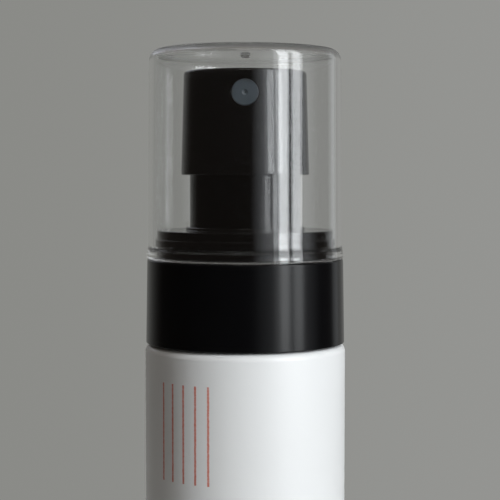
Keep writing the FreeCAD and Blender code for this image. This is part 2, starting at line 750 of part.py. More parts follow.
button_rib_pad = raised(button, "ButtonRib", button_rib, "button_rib_depth + button_top / 4")
repeated(button, "ButtonRibs", button_rib_pad, "3", angle=180)
dish = button.newObject("PartDesign::SubtractiveSphere", "FingerDish")
dish.setExpression("Radius", formula("dish_radius"))
dish.setExpression("Placement.Base.z", formula("button_height - dish_depth + dish_radius"))
doc.recompute()
socket = new_sketch(button, "SocketOutline", "XY_Plane", "stem_top_height - socket_depth")
disc(socket, "0", "0", "stem_radius + press_fit")
cut(button, "Socket", socket, "socket_depth", along_normal=True)
feed = new_sketch(button, "FeedOutline", "XY_Plane", "stem_top_height")
disc(feed, "0", "0", "feed_diameter / 2")
cut(button, "Feed", feed, "nozzle_height + ring_radius - stem_top_height", along_normal=True)
face = new_sketch(button, "FaceOutline", "XZ_Plane", "button_radius + skirt_wall")
disc(face, "0", "nozzle_height", "nozzle_radius + press_fit")
cut(button, "FaceBore", face, "button_radius + skirt_wall - nozzle_front + nozzle_face")
ring = new_sketch(button, "RingOutline", "XZ_Plane", "button_radius + skirt_wall")
disc(ring, "0", "nozzle_height", "nozzle_radius + press_fit")
disc(ring, "0", "nozzle_height", "post_radius")
cut(button, "RingBore", ring, "button_radius + skirt_wall - nozzle_front + nozzle_length + press_fit")
cross = new_sketch(button, "CrossOutline", "XZ_Plane")
disc(cross, "0", "nozzle_height + ring_radius", "cross_diameter / 2")
cut(button, "CrossHole", cross, "nozzle_front - nozzle_length", along_normal=True)

# Nozzle insert: a cup over the button's post, with a dimple, an orifice and a swirl chamber.
nozzle = new_body("nozzle_insert", "button_level + nozzle_height")
nozzle.setExpression("Placement.Base.y", formula("-nozzle_front"))
turned(nozzle, "NozzleCup", [
    ("orifice_diameter / 2", "dimple_depth"),
    ("dimple_diameter / 2", "0"),
    ("nozzle_radius", "0", "nozzle_edge"),
    ("nozzle_radius", "nozzle_length"),
    ("cup_bore_radius", "nozzle_length"),
    ("cup_bore_radius", "nozzle_face"),
    ("swirl_diameter / 2", "nozzle_face"),
    ("swirl_diameter / 2", "nozzle_face - swirl_depth"),
    ("orifice_diameter / 2", "nozzle_face - swirl_depth"),
], "XY_Plane")
groove = new_sketch(nozzle, "GrooveOutline", "XZ_Plane", "-nozzle_face")
outline(groove, [
    ("swirl_diameter / 2 - swirl_groove", "0"),
    ("swirl_diameter / 2", "0"),
    ("swirl_diameter / 2", "cup_bore_radius"),
    ("swirl_diameter / 2 - swirl_groove", "cup_bore_radius"),
])
groove_cut = cut(nozzle, "Groove", groove, "swirl_depth", along_normal=True)
repeated(nozzle, "Grooves", groove_cut, "swirl_count", axis="Y_Axis")

# Overcap: a drafted clear wall with a thicker rim, an inner bead, and a gate mark in its top over a small boss.
cap = new_body("overcap", "cap_level")
turned(cap, "CapWall", [
    ("cap_bore_radius", "0"),
    ("cap_rim_radius", "0"),
    ("cap_rim_radius", "cap_rim_height - cap_rim_slope"),
    ("cap_radius", "cap_rim_height"),
    ("cap_top_radius", "cap_height", "cap_edge"),
    ("gate_diameter / 2", "cap_height"),
    ("gate_diameter / 3", "cap_height - gate_depth"),
    ("0", "cap_height - gate_depth"),
    ("0", "cap_height - cap_top - gate_boss_drop"),
    ("gate_boss_diameter / 3", "cap_height - cap_top - gate_boss_drop"),
    ("gate_boss_diameter / 2", "cap_height - cap_top"),
    ("cap_top_bore_radius", "cap_height - cap_top", "cap_inner_edge"),
    ("cap_bore_radius", "cap_bead_level + cap_bead_width / 2"),
    ("cap_bead_radius", "cap_bead_level + cap_bead_width / 5"),
    ("cap_bead_radius", "cap_bead_level - cap_bead_width / 5"),
    ("cap_bore_radius", "cap_bead_level - cap_bead_width / 2"),
])

# Return spring: one round wire along a rising coil, drawn as tangent arcs, two to each quarter turn.
doc.recompute()
coil_radius = number("spring_radius")
wire_radius = number("spring_wire") / 2
first_height = number("spring_level + spring_seat_gap") + wire_radius
last_height = number("spring_top_level - spring_seat_gap") - wire_radius
quarters = round(number("spring_turns") * 4)
rise = (last_height - first_height) / quarters


def coil_spot(step):
    """A point of the coil and the coil's direction there."""
    angle = step * math.pi / 2
    spot = Vector(coil_radius * math.cos(angle), coil_radius * math.sin(angle), first_height + rise * step)
    heading = Vector(-coil_radius * math.sin(angle), coil_radius * math.cos(angle), rise * 2 / math.pi)
    return spot, heading.normalize()


def arc_from(start, heading, end):
    """The arc that leaves a point in a direction and ends at another point."""
    chord = end - start
    half = chord * 0.5
    aside = heading - chord * (heading.dot(chord) / chord.dot(chord))
    lean = heading.getAngle(chord)
    middle = start + half + aside.normalize() * (half.Length * math.tan(lean / 2))
    return Part.Arc(start, middle, end).toShape()


arcs = []
for step in range(quarters):
    start, heading = coil_spot(step)
    end, end_heading = coil_spot(step + 1)
    chord = end - start
    both = heading + end_heading
    spread = 2 * (1 - heading.dot(end_heading))
    reach = (-chord.dot(both) + math.sqrt(chord.dot(both) ** 2 + spread * chord.dot(chord))) / spread
    joint = (start + end + (heading - end_heading) * reach) * 0.5
    arcs.append(arc_from(start, heading, joint))
    joint_heading = (end - end_heading * reach - joint).normalize()
    arcs.append(arc_from(joint, joint_heading, end))
start, heading = coil_spot(0)
section = Part.Wire([Part.Circle(start, heading, wire_radius).toShape()])
coil = Part.Wire(arcs).makePipeShell([section], True, False)
spring = doc.addObject("Part::Feature", "return_spring")
spring.Label = "return_spring"
spring.Shape = coil
spring.Placement = Placement(Vector(0, 0, 0), Rotation())
gap = abs(rise) * 4 - 2 * wire_radius
print(f"return_spring: least gap between turns {gap:.3f} mm")

doc.recompute()
pieces = [bottle, gasket, housing, retainer, seal, stem, piston, valve, ball, tube, closure, collar,
          button, nozzle, cap, spring]
for thing in doc.Objects:
    if any(mark in thing.State for mark in ("Invalid", "Error")):
        raise RuntimeError(f"{thing.Label} is in a bad state: {thing.State}")
os.makedirs("parts", exist_ok=True)
for piece in pieces:
    shape = piece.Shape
    if shape.isNull() or not shape.isValid() or len(shape.Solids) != 1:
        raise RuntimeError(f"{piece.Label} is not one sound solid")
    shape.exportStep(f"parts/{piece.Label}.step")
    box = shape.BoundBox
    print(f"{piece.Label}: {shape.Volume:.1f} mm3, z {box.ZMin:.2f} to {box.ZMax:.2f}, x {box.XLength:.2f}")
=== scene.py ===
import math

import bpy
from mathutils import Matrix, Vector


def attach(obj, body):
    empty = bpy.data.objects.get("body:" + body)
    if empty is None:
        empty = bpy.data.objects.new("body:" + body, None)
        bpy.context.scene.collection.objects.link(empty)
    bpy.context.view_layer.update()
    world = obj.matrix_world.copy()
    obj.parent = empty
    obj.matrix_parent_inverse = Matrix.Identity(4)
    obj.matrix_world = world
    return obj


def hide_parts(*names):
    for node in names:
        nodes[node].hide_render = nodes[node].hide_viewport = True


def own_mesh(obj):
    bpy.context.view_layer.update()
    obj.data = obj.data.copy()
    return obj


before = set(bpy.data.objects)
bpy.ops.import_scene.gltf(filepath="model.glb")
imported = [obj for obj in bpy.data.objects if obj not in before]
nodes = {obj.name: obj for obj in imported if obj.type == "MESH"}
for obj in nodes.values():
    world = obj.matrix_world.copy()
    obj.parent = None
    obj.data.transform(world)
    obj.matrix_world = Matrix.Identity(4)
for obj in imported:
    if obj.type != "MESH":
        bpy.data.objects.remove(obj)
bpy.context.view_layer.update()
scene = bpy.context.scene


# Bottle: one blown shell of white plastic with a satin skin. It has a raised base, a small
# shoulder round and a plain neck, and thin coral pinstripes are printed on its side.
MM = 0.001
ON_AXIS, NEARLY_STRAIGHT = 1e-6, 0.01
LEAST_ROUNDING, EDGE_SHARE = 0.06, 0.45


def rounded(corners):
    """Points and normals along a closed outline, walked with the solid on the left.
    A corner is (across, up) or (across, up, rounding), in millimetres."""
    path = []
    count = len(corners)
    for i, corner in enumerate(corners):
        here = Vector(corner[:2])
        back = Vector(corners[i - 1][:2]) - here
        ahead = Vector(corners[(i + 1) % count][:2]) - here
        if here.x < ON_AXIS:
            outwards = -ahead.x if ahead.x > 0 else back.x
            path.append((here, Vector((0, math.copysign(1, outwards)))))
            continue
        half = back.angle(ahead) / 2
        if math.pi / 2 - half < NEARLY_STRAIGHT:
            along = (ahead - back).normalized()
            path.append((here, Vector((along.y, -along.x))))
            continue
        radius = corner[2] if len(corner) > 2 else LEAST_ROUNDING
        radius = min(radius, EDGE_SHARE * min(back.length, ahead.length) * math.tan(half))
        centre = here + (back.normalized() + ahead.normalized()).normalized() * (radius / math.sin(half))
        first = here + back.normalized() * (radius / math.tan(half)) - centre
        last = here + ahead.normalized() * (radius / math.tan(half)) - centre
        turn = first.angle_signed(last)
        fineness = 2 + 4 * math.sqrt(radius)
        steps = max(3, round(abs(turn) * fineness))
        bulge = 1 if back.x * ahead.y - back.y * ahead.x < 0 else -1
        for step in range(steps + 1):
            angle = -turn * step / steps
            spoke = Vector((first.x * math.cos(angle) - first.y * math.sin(angle),
                            first.x * math.sin(angle) + first.y * math.cos(angle)))
            path.append((centre + spoke, spoke.normalized() * bulge))
    return path


def turned(path, sides):
    """Corner points, normals and faces of an outline turned about the upright axis, and its rings."""
    points, normals, faces, rings = [], [], [], []
    for spot, lean in path:
        if spot.x < ON_AXIS:
            rings.append([len(points)] * sides)
            points.append((0, 0, spot.y * MM))
            normals.append((0, 0, lean.y))
            continue
        rings.append(list(range(len(points), len(points) + sides)))
        for side in range(sides):
            angle = 2 * math.pi * side / sides
            points.append((spot.x * math.cos(angle) * MM, spot.x * math.sin(angle) * MM, spot.y * MM))
            normals.append((lean.x * math.cos(angle), lean.x * math.sin(angle), lean.y))
    for i, ring in enumerate(rings):
        above = rings[(i + 1) % len(rings)]
        for side in range(sides):
            corner = [ring[side], ring[(side + 1) % sides], above[(side + 1) % sides], above[side]]
            face = list(dict.fromkeys(corner))
            if len(face) > 2:
                faces.append(face)
    return points, normals, faces, rings


def new_piece(name, points, normals, faces):
    """A mesh object with its own smooth normals."""
    mesh = bpy.data.meshes.new(name)
    mesh.from_pydata(points, [], faces)
    mesh.shade_smooth()
    if normals:
        mesh.normals_split_custom_set_from_vertices(normals)
    piece = bpy.data.objects.new(name, mesh)
    scene.collection.objects.link(piece)
    return piece


def dress(piece, material):
    """Gives a piece one material."""
    piece.data.materials.clear()
    piece.data.materials.append(material)


def feed(tree, socket, value):
    """Sets a socket to a number or a colour, or links another node's output to it."""
    if isinstance(value, bpy.types.NodeSocket):
        tree.links.new(value, socket)
    elif isinstance(value, tuple):
        socket.default_value = (*value, 1)
    else:
        socket.default_value = value


def value_node(tree, operation, *values):
    """A math node's result. Each value is a number or another node's output."""
    node = tree.nodes.new("ShaderNodeMath")
    node.operation = operation
    for socket, value in zip(node.inputs, values):
        feed(tree, socket, value)
    return node.outputs[0]


def noise(tree, place, scale, detail):
    """Soft noise from 0 to 1 over a surface."""
    node = tree.nodes.new("ShaderNodeTexNoise")
    node.inputs["Detail"].default_value = detail
    feed(tree, node.inputs["Vector"], place)
    feed(tree, node.inputs["Scale"], scale)
    return node.outputs["Fac"]


def mixed(tree, amount, first, second):
    """Mixes two colours. A colour is three numbers or another node's output."""
    node = tree.nodes.new("ShaderNodeMix")
    node.data_type = "RGBA"
    feed(tree, node.inputs[0], amount)
    feed(tree, node.inputs[6], first)
    feed(tree, node.inputs[7], second)
    return node.outputs[2]


def place_in(tree):
    """Where a point of a piece is, in metres."""
    return tree.nodes.new("ShaderNodeTexCoord").outputs["Object"]


def along_axes(tree, place):
    """A place or direction split into its x, y and z."""
    node = tree.nodes.new("ShaderNodeSeparateXYZ")
    tree.links.new(place, node.inputs[0])
    return node.outputs["X"], node.outputs["Y"], node.outputs["Z"]


def new_socket_group(name, inputs, outputs):
    """An empty shader node group with named sockets for plain values."""
    group = bpy.data.node_groups.new(name, "ShaderNodeTree")
    for label, start in inputs:
        socket = group.interface.new_socket(label, in_out="INPUT", socket_type="NodeSocketFloat")
        socket.default_value = start
    for label in outputs:
        group.interface.new_socket(label, in_out="OUTPUT", socket_type="NodeSocketFloat")
    return group, group.nodes.new("NodeGroupInput"), group.nodes.new("NodeGroupOutput")


# Moulded plastic: a soft unevenness in gloss, a fine skin and a slow drift in tone.
PATCH_DETAIL, SKIN_DETAIL = 3.0, 2.0
SKIN_SCALE, SKIN_STRENGTH = 900.0, 0.4
moulded, taken, given = new_socket_group(
    "moulded_skin",
    [("Gloss Scale", 60.0), ("Dullness", 0.3), ("Spread", 0.05), ("Skin Scale", SKIN_SCALE)],
    ["Roughness", "Skin", "Tone"])
where = place_in(moulded)
patches = noise(moulded, where, taken.outputs["Gloss Scale"], PATCH_DETAIL)
drift = value_node(moulded, "SUBTRACT", patches, 0.5)
gloss = value_node(moulded, "MULTIPLY_ADD", drift, taken.outputs["Spread"], taken.outputs["Dullness"])
skin = noise(moulded, where, taken.outputs["Skin Scale"], SKIN_DETAIL)
for label, value in (("Roughness", gloss), ("Skin", skin), ("Tone", patches)):
    moulded.links.new(value, given.inputs[label])


def moulded_surface(tree, dullness, spread, gloss_scale, skin_scale=SKIN_SCALE):
    """The moulded plastic's group in one material, with that material's settings."""
    surface = tree.nodes.new("ShaderNodeGroup")
    surface.node_tree = moulded
    surface.inputs["Gloss Scale"].default_value = gloss_scale
    surface.inputs["Dullness"].default_value = dullness
    surface.inputs["Spread"].default_value = spread
    surface.inputs["Skin Scale"].default_value = skin_scale
    return surface


def plastic(name, light, dark, dullness, spread, gloss_scale, skin_scale, skin_depth, polish=0.5):
    """A moulded plastic. Its tone drifts between two colours, and a fine skin breaks up its gloss."""
    material = bpy.data.materials.new(name)
    material.use_nodes = True
    tree = material.node_tree
    shader = tree.nodes["Principled BSDF"]
    shader.inputs["Specular IOR Level"].default_value = polish
    surface = moulded_surface(tree, dullness, spread, gloss_scale, skin_scale)
    tone = mixed(tree, surface.outputs["Tone"], dark, light)
    tree.links.new(tone, shader.inputs["Base Color"])
    tree.links.new(surface.outputs["Roughness"], shader.inputs["Roughness"])
    bump = tree.nodes.new("ShaderNodeBump")
    bump.inputs["Strength"].default_value = SKIN_STRENGTH
    bump.inputs["Distance"].default_value = skin_depth
    tree.links.new(surface.outputs["Skin"], bump.inputs["Height"])
    tree.links.new(bump.outputs["Normal"], shader.inputs["Normal"])
    return material


ROUND_SIDES = 256
BOTTLE_RADIUS, BOTTLE_BORE, BOTTLE_WALL = 19.0, 17.8, 1.2
SHOULDER_HIGH, SHOULDER_LOW = 110.0, 108.8
NECK_RADIUS, NECK_BORE, NECK_HIGH = 8.8, 6.7, 127.0
FOOT_RADIUS, DISH_RADIUS, DISH_LOW, DISH_HIGH = 13.0, 9.0, 1.8, 3.0
bottle_outline = rounded([
    (0, DISH_LOW), (DISH_RADIUS, DISH_LOW, 1.0), (FOOT_RADIUS, 0, 0.6), (BOTTLE_RADIUS, 0, 2.5),
    (BOTTLE_RADIUS, SHOULDER_HIGH, 1.5), (NECK_RADIUS, SHOULDER_HIGH, 0.8),
    (NECK_RADIUS, NECK_HIGH, 0.3), (NECK_BORE, NECK_HIGH, 0.3),
    (NECK_BORE, SHOULDER_LOW, 0.5), (BOTTLE_BORE, SHOULDER_LOW, 0.75),
    (BOTTLE_BORE, BOTTLE_WALL, 1.5), (FOOT_RADIUS, BOTTLE_WALL, 0.6),
    (DISH_RADIUS, DISH_HIGH, 1.0), (0, DISH_HIGH)])
bottle = new_piece("bottle_shell", *turned(bottle_outline, ROUND_SIDES)[:3])
bottle_white = plastic(
    "bottle_white_satin", light=(0.80, 0.80, 0.79), dark=(0.76, 0.76, 0.75), dullness=0.34, spread=0.08,
    gloss_scale=45.0, skin_scale=1400.0, skin_depth=0.000015)
STRIPE_COUNT, STRIPE_PITCH, STRIPE_WIDTH = 5, 2.6, 0.42
STRIPE_LOW, STRIPE_HIGH, STRIPE_MIDDLE = 86.0, 104.0, -126.0
STRIPE_INK, INK_LEAST, INK_SPREAD = (0.66, 0.19, 0.13), 0.62, 0.5
EDGE_WOBBLE, WOBBLE_SCALE, WOBBLE_DETAIL = 0.1, 1800.0, 2.0
print_tree = bottle_white.node_tree
print_colour = print_tree.nodes["Principled BSDF"].inputs["Base Color"]
print_place = place_in(print_tree)
print_x, print_y, print_z = along_axes(print_tree, print_place)
wobble = noise(print_tree, print_place, WOBBLE_SCALE, WOBBLE_DETAIL)
around = value_node(print_tree, "ARCTAN2", print_y, print_x)
arc = value_node(print_tree, "MULTIPLY_ADD", around, BOTTLE_RADIUS,
                 -BOTTLE_RADIUS * math.radians(STRIPE_MIDDLE))
stripe_number = value_node(print_tree, "ROUND", value_node(print_tree, "DIVIDE", arc, STRIPE_PITCH))
stripe_middle = value_node(print_tree, "MULTIPLY", stripe_number, STRIPE_PITCH)
aside = value_node(print_tree, "ABSOLUTE", value_node(print_tree, "SUBTRACT", arc, stripe_middle))
from_middle = value_node(print_tree, "ABSOLUTE", stripe_number)
ragged = value_node(print_tree, "MULTIPLY_ADD", wobble, EDGE_WOBBLE, STRIPE_WIDTH / 2 - EDGE_WOBBLE / 2)
inked = value_node(print_tree, "LESS_THAN", aside, ragged)
for limit in (value_node(print_tree, "LESS_THAN", from_middle, STRIPE_COUNT / 2),
              value_node(print_tree, "GREATER_THAN", print_z, STRIPE_LOW * MM),
              value_node(print_tree, "LESS_THAN", print_z, STRIPE_HIGH * MM),
              value_node(print_tree, "MULTIPLY_ADD", wobble, INK_SPREAD, INK_LEAST)):
    inked = value_node(print_tree, "MULTIPLY", inked, limit)
bare_white = print_colour.links[0].from_socket
print_tree.links.new(mixed(print_tree, inked, bare_white, STRIPE_INK), print_colour)
dress(bottle, bottle_white)
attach(bottle, "bottle")
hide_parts("bottle")

# Neck thread: a flat-topped ridge of the same white plastic, moulded on the neck. It makes one
# and a half turns, and its ends run out into the wall so that the closure starts easily.
THREAD_PITCH = 3.175
NECK_THREAD_LEVEL = 119.64
THREAD_STEPS, THREAD_SHARP_ANGLE = 96, 30
RUN_OUT_HEIGHT, RUN_OUT_RATE = 0.3, 8


def thread_ridge(name, bed, crest, start_level, turns, bed_width, crest_width):
    """A screw ridge from a bed inside the wall to its crest. It grows out of the wall at each end."""
    steps = round(turns * THREAD_STEPS)
    points, faces = [], []
    for step in range(steps + 1):
        share = step / steps
        grow = min(1, RUN_OUT_HEIGHT + share * turns * RUN_OUT_RATE,
                   RUN_OUT_HEIGHT + (1 - share) * turns * RUN_OUT_RATE)
        angle = 2 * math.pi * turns * share
        level = start_level + THREAD_PITCH * turns * share
        top = bed + (crest - bed) * grow
        for radius, rise in ((bed, -bed_width / 2), (top, -crest_width / 2), (top, crest_width / 2),
                             (bed, bed_width / 2)):
            points.append((radius * math.cos(angle) * MM, radius * math.sin(angle) * MM, (level + rise) * MM))
    for step in range(steps):
        for side in range(4):
            a, b = step * 4 + side, step * 4 + (side + 1) % 4
            faces.append((a, b, b + 4, a + 4))
    end = steps * 4
    faces += [(3, 2, 1, 0), (end, end + 1, end + 2, end + 3)]
    if crest < bed:
        faces = [tuple(reversed(face)) for face in faces]
    piece = new_piece(name, points, None, faces)
    piece.data.set_sharp_from_angle(angle=math.radians(THREAD_SHARP_ANGLE))
    return piece


neck_thread = thread_ridge("neck_thread", bed=8.5, crest=9.98, start_level=NECK_THREAD_LEVEL, turns=1.5,
                           bed_width=1.7, crest_width=0.7)
dress(neck_thread, bottle_white)
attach(neck_thread, "bottle")

# Dip tube: an extruded tube of translucent plastic. It is pressed into the socket under the
# pump, and its lower end is cut on the slant just above the bottle's base.
tube_clear = plastic(
    "tube_translucent", light=(0.86, 0.88, 0.88), dark=(0.80, 0.83, 0.84), dullness=0.28, spread=0.05,
    gloss_scale=80.0, skin_scale=700.0, skin_depth=0.00001)
tube_shader = tube_clear.node_tree.nodes["Principled BSDF"]
tube_shader.inputs["Transmission Weight"].default_value = 0.6
tube_shader.inputs["IOR"].default_value = 1.5
dress(nodes["dip_tube"], tube_clear)

# Pump body: the housing, the ring that guides the stem, the stem and its plunger, all moulded
# in uncoloured plastic. The ring snaps into the housing and holds the stem in the barrel.
pump_natural = plastic(
    "pump_natural_plastic", light=(0.82, 0.83, 0.81), dark=(0.76, 0.77, 0.74), dullness=0.42, spread=0.08,
    gloss_scale=90.0, skin_scale=1200.0, skin_depth=0.00002)
for name in ("pump_housing", "stem_retainer", "stem", "outlet_valve"):
    dress(nodes[name], pump_natural)

# Piston: a double-lipped sleeve of softer uncoloured plastic, so that its thin lips wipe the
# bore. It sits on the stem's lower end, and the stem can turn in it.
piston_natural = plastic(
    "piston_soft_plastic", light=(0.80, 0.82, 0.82), dark=(0.73, 0.75, 0.76), dullness=0.5, spread=0.08,
    gloss_scale=110.0, skin_scale=1500.0, skin_depth=0.00002)
dress(nodes["piston"], piston_natural)

# Seals: a black rubber washer that wipes the stem under its guide ring, and a washer die-cut
# from white foam sheet, which is clamped on the bottle's neck.
seal_rubber = plastic(
    "seal_black_rubber", light=(0.03, 0.03, 0.031), dark=(0.018, 0.018, 0.018), dullness=0.6, spread=0.1,
    gloss_scale=120.0, skin_scale=2000.0, skin_depth=0.00003)
dress(nodes["stem_seal"], seal_rubber)
gasket_foam = plastic(
    "gasket_white_foam", light=(0.84, 0.84, 0.82), dark=(0.74, 0.74, 0.72), dullness=0.8, spread=0.08,
    gloss_scale=300.0, skin_scale=2600.0, skin_depth=0.00008)
dress(nodes["neck_gasket"], gasket_foam)

# Return spring: drawn steel wire wound as an open coil. It stands on the ledge over the ball
# and carries the plunger. The button shortens its lower turns, and the plunger its top turn.
SPRING_LOW, SPRING_HIGH, SPRING_RADIUS = 92.95, 106.05, 2.45
SPRING_TURNS, TOP_TURN, TURN_GAP = 7, 6, 0.006
WIRE_RADIUS, WIRE_SIDES, STEPS_PER_TURN, WIRE_SHARP_ANGLE = 0.3, 12, 40, 50
STEEL_SKIN_DEPTH, STEEL_SKIN_FINENESS = 0.000005, 8


def wire_level(turn):
    """Height of the wire's middle after a number of turns."""
    return SPRING_LOW + WIRE_RADIUS + (SPRING_HIGH - SPRING_LOW - 2 * WIRE_RADIUS) * turn / SPRING_TURNS


def coil(name, first_turn, last_turn):
    """Round wire wound from one turn to another, cut flat at both ends."""
    steps = round((last_turn - first_turn) * STEPS_PER_TURN)
    points, faces = [], []
    for step in range(steps + 1):
        turn = first_turn + (last_turn - first_turn) * step / steps
        angle = 2 * math.pi * turn
        for side in range(WIRE_SIDES):
            swing = 2 * math.pi * side / WIRE_SIDES
            radius = SPRING_RADIUS + WIRE_RADIUS * math.cos(swing)
            level = wire_level(turn) + WIRE_RADIUS * math.sin(swing)
            points.append((radius * math.cos(angle) * MM, radius * math.sin(angle) * MM, level * MM))
    for step in range(steps):
        for side in range(WIRE_SIDES):
            a, b = step * WIRE_SIDES + side, step * WIRE_SIDES + (side + 1) % WIRE_SIDES
            faces.append((b, a, a + WIRE_SIDES, b + WIRE_SIDES))
    end = steps * WIRE_SIDES
    faces.append(tuple(range(WIRE_SIDES)))
    faces.append(tuple(range(end + WIRE_SIDES - 1, end - 1, -1)))
    piece = new_piece(name, points, None, faces)
    piece.data.set_sharp_from_angle(angle=math.radians(WIRE_SHARP_ANGLE))
    return piece


def metal(name, light, dark, dullness, spread, scale):
    """Bare steel. Its tone and gloss drift a little over the surface."""
    skin_scale = scale * STEEL_SKIN_FINENESS
    material = plastic(name, light, dark, dullness, spread, scale, skin_scale, STEEL_SKIN_DEPTH)
    material.node_tree.nodes["Principled BSDF"].inputs["Metallic"].default_value = 1.0
    return material


spring_steel = metal("spring_drawn_steel", light=(0.62, 0.62, 0.62), dark=(0.5, 0.5, 0.51), dullness=0.28,
                     spread=0.1, scale=400.0)
spring = coil("return_spring_wire", 0, TOP_TURN - TURN_GAP)
spring_top = coil("return_spring_top_turn", TOP_TURN, SPRING_TURNS)
for turns, carrier in ((spring, "pump"), (spring_top, "piston")):
    dress(turns, spring_steel)
    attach(turns, carrier)
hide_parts("return_spring")
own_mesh(spring)
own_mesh(spring_top)

# Inlet ball: a ground and polished steel ball. It lies loose on a cone seat in the housing and
# lifts off it while the barrel fills.
ball_steel = metal("ball_polished_steel", light=(0.78, 0.78, 0.79), dark=(0.7, 0.7, 0.71), dullness=0.08,
                   spread=0.04, scale=300.0)
dress(nodes["inlet_ball"], ball_steel)

# Closure: the black screw skirt that clamps the pump to the neck, with the round tower that
# guides the button. Its key grooves and inner thread are moulded in.
CLOSURE_SIDES = 192
CLOSURE_LOW, CLOSURE_RADIUS, CLOSURE_BORE = 114.0, 12.0, 10.2
ROOF_LOW, ROOF_HIGH, ROOF_RADIUS, ROOF_HOLE = 129.0, 130.3, 12.8, 6.9
TOWER_HIGH, TOWER_RADIUS, TOWER_BORE = 145.4, 10.5, 9.3
KEY_COUNT, KEY_HALF_WIDTH, KEY_FLOOR, KEY_SKIN, KEY_END = 12, 0.66, 11.5, 0.3, 0.02
key_pitch = 2 * math.pi / KEY_COUNT
closure_black = plastic(
    "closure_black_plastic", light=(0.0045, 0.0045, 0.005), dark=(0.003, 0.003, 0.0035), dullness=0.075,
    spread=0.03, gloss_scale=70.0, skin_scale=1300.0, skin_depth=0.000003, polish=0.3)
closure_outline = rounded([
    (CLOSURE_BORE, CLOSURE_LOW), (CLOSURE_RADIUS, CLOSURE_LOW, 0.2), (CLOSURE_RADIUS, ROOF_LOW),
    (ROOF_RADIUS, ROOF_LOW), (ROOF_RADIUS, ROOF_HIGH), (TOWER_RADIUS, ROOF_HIGH),
    (TOWER_RADIUS, TOWER_HIGH, 0.35), (TOWER_BORE, TOWER_HIGH, 0.2), (TOWER_BORE, ROOF_HIGH),
    (ROOF_HOLE, ROOF_HIGH), (ROOF_HOLE, ROOF_LOW), (CLOSURE_BORE, ROOF_LOW)])
closure_points, closure_normals, closure_faces, closure_rings = turned(closure_outline, CLOSURE_SIDES)
for (spot, _), ring in zip(closure_outline, closure_rings):
    if spot.x > CLOSURE_RADIUS - KEY_SKIN and spot.y < ROOF_LOW - KEY_END:
        for side, place in enumerate(ring):
            angle = 2 * math.pi * side / CLOSURE_SIDES
            from_key = abs((angle + key_pitch / 2) % key_pitch - key_pitch / 2)
            if from_key * CLOSURE_RADIUS < KEY_HALF_WIDTH:
                x, y, z = closure_points[place]
                closure_points[place] = (x * KEY_FLOOR / spot.x, y * KEY_FLOOR / spot.x, z)
closure = new_piece("closure_with_tower", closure_points, closure_normals, closure_faces)
dress(closure, closure_black)
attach(closure, "collar")
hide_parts("threaded_closure")
THREAD_OFFSET = 1.1
closure_thread = thread_ridge("closure_thread", bed=10.5, crest=9.12,
                              start_level=NECK_THREAD_LEVEL - THREAD_OFFSET, turns=1.25,
                              bed_width=1.3, crest_width=0.6)
dress(closure_thread, closure_black)
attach(closure_thread, "collar")

# Collar: the black shell pressed over the closure. Its step carries the overcap, a snap bead
# runs round the step, and inner ribs key it to the closure. The step is more polished.
COLLAR_LOW, COLLAR_FOOT_RADIUS, COLLAR_BORE, COLLAR_CEILING = 110.2, 18.85, 17.1, 124.6
SEAT_LEVEL, SEAT_RADIUS = 126.0, 18.6
STEP_RADIUS, STEP_BORE, STEP_HIGH = 16.7, 15.4, 131.5
BEAD_RADIUS, BEAD_FOOT, BEAD_LOW, BEAD_HIGH, BEAD_END = 17.02, 128.3, 128.65, 129.8, 129.9
LIP_RADIUS, LIP_BORE, LIP_HIGH = 11.3, 10.65, 132.1
RIB_INNER, RIB_OUTER, RIB_HALF_WIDTH, RIB_LEVELS = 11.65, 17.4, 0.5, (112.2, 124.9)
POLISH_END, POLISH_FADE, POLISH_COAT, POLISH_DULLNESS = 17.1, 0.2, 0.55, 0.06
OWN_NORMAL = (0, 0, 0)
collar_outline = rounded([
    (COLLAR_BORE, COLLAR_LOW, 0.15), (COLLAR_FOOT_RADIUS, COLLAR_LOW, 0.15), (SEAT_RADIUS, SEAT_LEVEL, 0.35),
    (STEP_RADIUS, SEAT_LEVEL, 0.1), (STEP_RADIUS, BEAD_FOOT, 0.1), (BEAD_RADIUS, BEAD_LOW, 0.1),
    (BEAD_RADIUS, BEAD_HIGH, 0.06), (STEP_RADIUS, BEAD_END, 0.06), (STEP_RADIUS, STEP_HIGH, 0.15),
    (LIP_RADIUS, STEP_HIGH, 0.1), (LIP_RADIUS, LIP_HIGH, 0.2), (LIP_BORE, LIP_HIGH, 0.2),
    (LIP_BORE, ROOF_HIGH), (STEP_BORE, ROOF_HIGH), (STEP_BORE, COLLAR_CEILING),
    (COLLAR_BORE, COLLAR_CEILING)])
collar_points, collar_normals, collar_faces, _ = turned(collar_outline, ROUND_SIDES)
rib_corners = [(across, beside, level) for level in RIB_LEVELS
               for across, beside in ((RIB_INNER, -RIB_HALF_WIDTH), (RIB_OUTER, -RIB_HALF_WIDTH),
                                      (RIB_OUTER, RIB_HALF_WIDTH), (RIB_INNER, RIB_HALF_WIDTH))]
for rib in range(KEY_COUNT):
    angle = rib * key_pitch
    first = len(collar_points)
    for across, beside, level in rib_corners:
        collar_points.append(((across * math.cos(angle) - beside * math.sin(angle)) * MM,
                              (across * math.sin(angle) + beside * math.cos(angle)) * MM, level * MM))
        collar_normals.append(OWN_NORMAL)
    for face in ((3, 2, 1, 0), (4, 5, 6, 7), (0, 1, 5, 4), (1, 2, 6, 5), (2, 3, 7, 6), (3, 0, 4, 7)):
        collar_faces.append([first + corner for corner in face])
collar = new_piece("collar_shell_black", collar_points, collar_normals, collar_faces)


